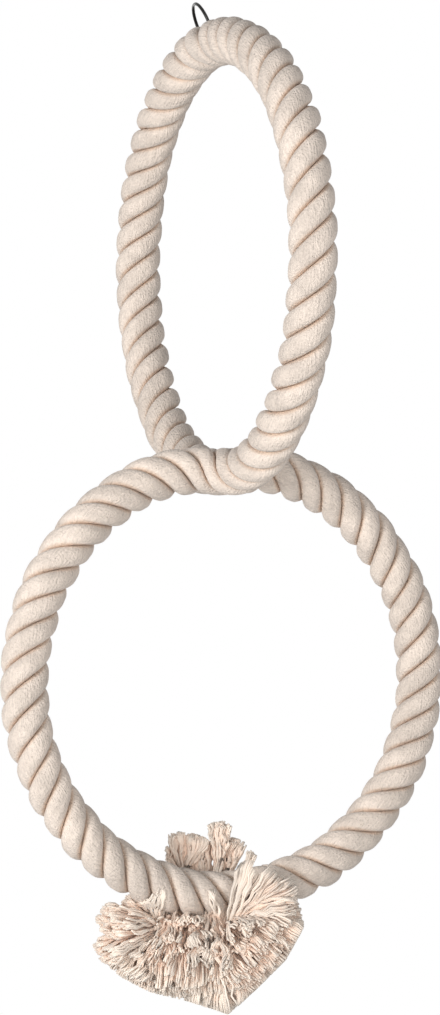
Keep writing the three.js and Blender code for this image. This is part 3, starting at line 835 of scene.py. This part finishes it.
class BIRDROPE_OT_tassel(bpy.types.Operator):
    """Combs out the strand ends into the six tufts of the tassel"""

    bl_idname = "bird_rope.tassel"
    bl_label = "Tassel"

    def execute(self, context):
        tassel = context.scene.bird_rope_tassel
        route = Route()
        origin = route.tassel_start()
        finish = tassel_material()
        start, _ = route.ends()
        near_rope = route.at(start + np.linspace(*NEAR_ROPE, NEAR_ROPE_POINTS))
        azimuth = context.scene.bird_rope_stage.azimuth
        view = np.array([[math.cos(azimuth), 0, math.sin(azimuth)],
                         [math.sin(azimuth), 0, -math.cos(azimuth)],
                         [0, 1, 0]])
        for index, (name, fans) in enumerate(FANS.items()):
            rng = np.random.default_rng(tassel.seed * 100 + index)
            cut = "back" not in name
            combed = [self.comb(tassel, fan, origin, view, near_rope, rng, cut) for fan in fans]
            lines = np.concatenate([lines for lines, _ in combed])
            tones = np.concatenate([tones for _, tones in combed])
            piece = yarn_tubes(name + "_yarns", route.hang(lines), tassel.yarn / 2, tones)
            piece.data.materials.append(finish)
            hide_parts(name)
            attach(piece, "rope")
        return {"FINISHED"}

    def cut(self, lines, origin, view):
        """Shortens the yarns that reach past the cut outline or end in a hollow"""
        seen = (lines - origin) @ view * 1000
        seen = seen[..., :2] - np.stack([0 * seen[..., 2], SEEN_LOWER * seen[..., 2]], -1)
        free = YARN_POINTS - TUCKED_POINTS
        kept = np.ones(len(lines))
        share = np.linspace(0, 1, free)
        for here, there in zip(CUT_OUTLINE, CUT_OUTLINE[1:]):
            edge = np.subtract(there, here)
            length = np.linalg.norm(edge)
            edge = edge / length
            inside = (seen - here) @ (-edge[1], edge[0])
            along = (seen - here) @ edge
            for k in range(TUCKED_POINTS, YARN_POINTS - 1):
                a, b = inside[:, k], inside[:, k + 1]
                leaving = (a >= 0) & (b < 0)
                part = a / np.where(leaving, a - b, 1)
                met = along[:, k] + (along[:, k + 1] - along[:, k]) * part
                leaving &= (met >= 0) & (met <= length)
                at = share[k - TUCKED_POINTS] + (share[1] - share[0]) * part
                kept = np.where(leaving, np.minimum(kept, at), kept)
        for right, up, half_wide, half_high in HOLLOWS:
            from_middle = (seen[:, -1] - (right, up)) / (half_wide, half_high)
            away = np.hypot(from_middle[:, 0], from_middle[:, 1])
            kept = np.where(away < 1, np.minimum(kept, HOLLOW_KEPT), kept)
        place = kept[:, None] * np.linspace(0, free - 1, free)
        low = np.minimum(place.astype(int), free - 2)
        part = (place - low)[..., None]
        rows = np.arange(len(lines))[:, None]
        fans = lines[:, TUCKED_POINTS:]
        shorter = lines.copy()
        shorter[:, TUCKED_POINTS:] = fans[rows, low] * (1 - part) + fans[rows, low + 1] * part
        return shorter

    def comb(self, tassel, fan, origin, view, near_rope, rng, cut):
        """The middle lines of one fan's yarns, and how light each yarn is"""
        *places, wide, root, half_wide, half_thick, bow, count, lock_size, curl = fan
        start, pinch, end = (origin + view @ np.array(place) / 1000 for place in places)
        bow = view @ np.array(bow) / 1000
        run = end - pinch
        length = np.linalg.norm(run)
        run /= length
        wide = view @ np.array(wide, float)
        wide -= run * wide.dot(run)
        wide /= np.linalg.norm(wide)
        thick = np.cross(run, wide)
        root, half_wide, half_thick = root / 1000, half_wide / 1000, half_thick / 1000
        tucked = np.linspace(-1, 0, TUCKED_POINTS + 1)[:-1]
        share = np.concatenate([tucked, np.linspace(0, 1, YARN_POINTS - TUCKED_POINTS)])

        locks = max(2, round(count / lock_size))
        lock_at = np.sqrt(rng.uniform(0, 1, locks))
        lock_turn = rng.uniform(0, 2 * math.pi, locks)
        lock_place = np.stack([lock_at * np.cos(lock_turn), lock_at * np.sin(lock_turn)], -1)
        bend_spread = LOCK_BEND * length * min(curl, MOST_BENDING_CURL)
        lock_bend = rng.normal(0, bend_spread, (locks, 2))
        lock_phase = rng.uniform(0, 2 * math.pi, (locks, 2))
        lock_wave = rng.uniform(*WAVE_LENGTH, locks)
        lock_swing = rng.uniform(*WAVE_SWING, locks) * tassel.wave * curl
        lock_length = rng.uniform(*LOCK_LENGTH, locks)
        if cut:
            lock_length -= SHORT_BY * (rng.uniform(0, 1, locks) < SHORT_SHARE)

        at = np.sqrt(rng.uniform(0, 1, count))
        turn = rng.uniform(0, 2 * math.pi, count)
        place = np.stack([at * np.cos(turn), at * np.sin(turn)], -1)
        lock = np.linalg.norm(place[:, None] - lock_place[None], axis=2).argmin(1)
        drawn = place * (1 - DRAWN_TOGETHER) + lock_place[lock] * DRAWN_TOGETHER
        thin_root = min(root, PINCH_THICKNESS + PINCH_GROWTH * math.sqrt(count))
        reach = lock_length[lock] * rng.uniform(*YARN_LENGTH, count) \
            * (1 - OUTER_SHORTER * at ** 3)
        lines = np.empty((count, YARN_POINTS, 3))
        for i, t in enumerate(share):
            out = max(t, 0)
            spread = np.interp(out, *FAN_WIDTH)
            loosen = np.interp(out, *FAN_LOOSE)
            here = drawn * (1 - loosen) + place * loosen
            wave = np.sin(out * length / lock_wave[lock][:, None] * 2 * math.pi
                          + lock_phase[lock] + rng.normal(0, WAVE_UNEVEN, (count, 2)))
            wave *= lock_swing[lock][:, None] * min(1, out * WAVE_ONSET)
            bend = lock_bend[lock] * out * out * (1 - BEND_EASING * out)
            a = root + (half_wide - root) * spread
            b = thin_root + (half_thick - thin_root) * spread
            offset = np.stack([here[:, 0] * a, here[:, 1] * b], -1) + wave + bend
            if t < 0:
                middle = pinch + (start - pinch) * -t
            else:
                far = out * length * reach
                middle = pinch + bow * 4 * out * (1 - out) * BOW_SHARE + run * far[:, None]
            lines[:, i] = middle + wide * offset[:, :1] + thick * offset[:, 1:]
        gap = np.linalg.norm(lines[:, :, None] - near_rope[None, None], axis=3)
        least = gap.min(2)
        middle = near_rope[gap.argmin(2)]
        clear = bpy.context.scene.bird_rope.diameter / 2 + ROPE_CLEARANCE
        push = np.where(least < clear, clear / np.maximum(least, 1e-6), 1.0)
        push[:, :TUCKED_POINTS - 1] = 1.0
        lines = middle + (lines - middle) * push[..., None]
        if cut:
            lines = self.cut(lines, origin, view)
        yarn_tone = rng.normal(1.0, YARN_TONE, count)
        lock_tone = 1 + LOCK_TONE * rng.normal(0, 1, locks)
        return lines, np.clip(yarn_tone * lock_tone[lock], *TONE_RANGE)


class BIRDROPE_OT_cord(bpy.types.Operator):
    """Takes no step of its own; the rope's length and middle line are stored when the rope is laid
    """

    bl_idname = "bird_rope.cord"
    bl_label = "Rope Length"

    def execute(self, context):
        return {"FINISHED"}


class BIRDROPE_OT_stitch(bpy.types.Operator):
    """Finishes the hidden twine stitch that keeps the two rings together"""

    bl_idname = "bird_rope.stitch"
    bl_label = "Crossing Stitch"

    def execute(self, context):
        material, nodes, links, shader = finish_material("waxed_twine", {"Roughness": 0.7})
        ply = noise(nodes, links, object_place(nodes), Scale=800.0)
        links.new(mixed(nodes, links, ply, TWINE_DARK, TWINE_PALE), shader.inputs["Base Color"])
        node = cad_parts["crossing_stitch"]
        node.data.materials.clear()
        node.data.materials.append(material)
        return {"FINISHED"}


def chosen(nodes, links, unseen, seen):
    """One shader for the light on things, another for what is seen, also in metal or glass"""
    ray = nodes.new("ShaderNodeLightPath").outputs
    seeing = reckoned(nodes, links, "MAXIMUM", ray["Is Camera Ray"], ray["Is Glossy Ray"])
    seeing = reckoned(nodes, links, "MAXIMUM", seeing, ray["Is Transmission Ray"])
    choose = nodes.new("ShaderNodeMixShader")
    links.new(seeing, choose.inputs["Fac"])
    links.new(unseen, choose.inputs[1])
    links.new(seen, choose.inputs[2])
    return choose.outputs["Shader"]


def backdrop_world(scene):
    world = bpy.data.worlds.new("studio")
    world.use_nodes = True
    scene.world = world
    nodes, links = world.node_tree.nodes, world.node_tree.links
    fill = nodes["Background"]
    fill.inputs["Color"].default_value = (1, 1, 1, 1)
    direction = nodes.new("ShaderNodeTexCoord")
    height = nodes.new("ShaderNodeSeparateXYZ")
    links.new(direction.outputs["Generated"], height.inputs["Vector"])
    strength = ranged(nodes, links, height.outputs["Z"], (LIGHT_BELOW, LIGHT_ABOVE), (-1.0, 1.0))
    links.new(strength, fill.inputs["Strength"])
    seen = nodes.new("ShaderNodeBackground")
    seen.inputs["Color"].default_value = (1, 1, 1, 1)
    seen.inputs["Strength"].default_value = 1.0
    choice = chosen(nodes, links, fill.outputs["Background"], seen.outputs["Background"])
    links.new(choice, nodes["World Output"].inputs["Surface"])


def floor_material(stage):
    material, nodes, links, shader = finish_material("pale_floor", {
        "Base Color": (*stage.floor, 1), "Roughness": 0.9})
    glows = []
    for strength in (0.0, FLOOR_GLOW):
        glow = nodes.new("ShaderNodeEmission")
        glow.inputs["Strength"].default_value = strength
        glows.append(glow.outputs["Emission"])
    total = nodes.new("ShaderNodeAddShader")
    links.new(shader.outputs["BSDF"], total.inputs[0])
    links.new(chosen(nodes, links, *glows), total.inputs[1])
    links.new(total.outputs["Shader"], nodes["Material Output"].inputs["Surface"])
    return material


def softbox(name, place, aim, size, watts):
    lamp = bpy.data.lights.new(name, "AREA")
    lamp.shape = "SQUARE"
    lamp.size = size
    lamp.energy = watts
    holder = bpy.data.objects.new(name, lamp)
    holder.location = place
    holder.rotation_euler = (aim - place).to_track_quat("-Z", "Y").to_euler()
    bpy.context.scene.collection.objects.link(holder)


class BIRDROPE_OT_stage(bpy.types.Operator):
    """Sets up the camera, the soft lamps, the pale floor and the backdrop"""

    bl_idname = "bird_rope.stage"
    bl_label = "Stage"

    def execute(self, context):
        stage = context.scene.bird_rope_stage
        az, el, roll = stage.azimuth, stage.elevation, stage.roll
        back = Vector((math.sin(az) * math.cos(el), -math.cos(az) * math.cos(el), math.sin(el)))
        right = Vector((0, 0, 1)).cross(back).normalized()
        up = back.cross(right)
        turned_right = right * math.cos(roll) + up * math.sin(roll)
        turned_up = up * math.cos(roll) - right * math.sin(roll)
        view = bpy.data.cameras.new("photo_camera")
        view.lens = stage.focal_length
        view.sensor_width = 36
        view.clip_start = 0.05
        view.clip_end = 50
        camera = bpy.data.objects.new("photo_camera", view)
        turn = Matrix((turned_right, turned_up, back)).transposed().to_4x4()
        camera.matrix_world = Matrix.Translation(Vector(stage.aim) + back * stage.distance) @ turn
        context.scene.collection.objects.link(camera)
        context.scene.camera = camera
        context.scene.view_settings.view_transform = "Standard"

        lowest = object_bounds()[0][2]
        deselect()
        bpy.ops.mesh.primitive_circle_add(
            vertices=96, radius=FLOOR_RADIUS, fill_type="NGON",
            location=(0, 0, lowest - stage.floor_drop))
        floor = context.active_object
        floor.name = "pale_floor"
        bpy.ops.object.transform_apply(location=True, rotation=True, scale=True)
        floor.data.materials.append(floor_material(stage))
        floor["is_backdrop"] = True
        deselect()

        aim = Vector(LAMP_AIM)
        for name, place, size, watts in LAMPS:
            softbox(name, aim + Vector(place), aim, size, watts)
        backdrop_world(context.scene)
        return {"FINISHED"}


class BIRDROPE_PT_sidebar(bpy.types.Panel):
    bl_idname = "BIRDROPE_PT_sidebar"
    bl_label = "Bird Rope With Rings"
    bl_space_type = "VIEW_3D"
    bl_region_type = "UI"
    bl_category = "Bird Rope"

    def draw(self, context):
        scene = context.scene
        for settings in (scene.bird_rope, scene.bird_rope_ring, scene.bird_rope_tassel,
                         scene.bird_rope_stage):
            box = self.layout.box()
            for name in settings.__annotations__:
                box.prop(settings, name)
        for operator in OPERATORS:
            self.layout.operator(operator.bl_idname)


GROUPS = {
    "bird_rope": BIRDROPE_PG_rope,
    "bird_rope_ring": BIRDROPE_PG_ring,
    "bird_rope_tassel": BIRDROPE_PG_tassel,
    "bird_rope_stage": BIRDROPE_PG_stage,
}
OPERATORS = (
    BIRDROPE_OT_stage,
    BIRDROPE_OT_rope,
    BIRDROPE_OT_tassel,
    BIRDROPE_OT_hanging_ring,
    BIRDROPE_OT_stitch,
    BIRDROPE_OT_cord,
)


def register():
    for cls in (*GROUPS.values(), *OPERATORS, BIRDROPE_PT_sidebar):
        bpy.utils.register_class(cls)
    for name, group in GROUPS.items():
        setattr(bpy.types.Scene, name, bpy.props.PointerProperty(type=group))


def unregister():
    for name in GROUPS:
        delattr(bpy.types.Scene, name)
    for cls in (BIRDROPE_PT_sidebar, *OPERATORS, *GROUPS.values()):
        bpy.utils.unregister_class(cls)


def main():
    register()
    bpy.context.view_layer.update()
    bpy.ops.bird_rope.stage()
    bpy.ops.bird_rope.rope()
    bpy.ops.bird_rope.tassel()
    bpy.ops.bird_rope.hanging_ring()
    bpy.ops.bird_rope.stitch()
    bpy.ops.bird_rope.cord()


if __name__ == "__main__":
    main()
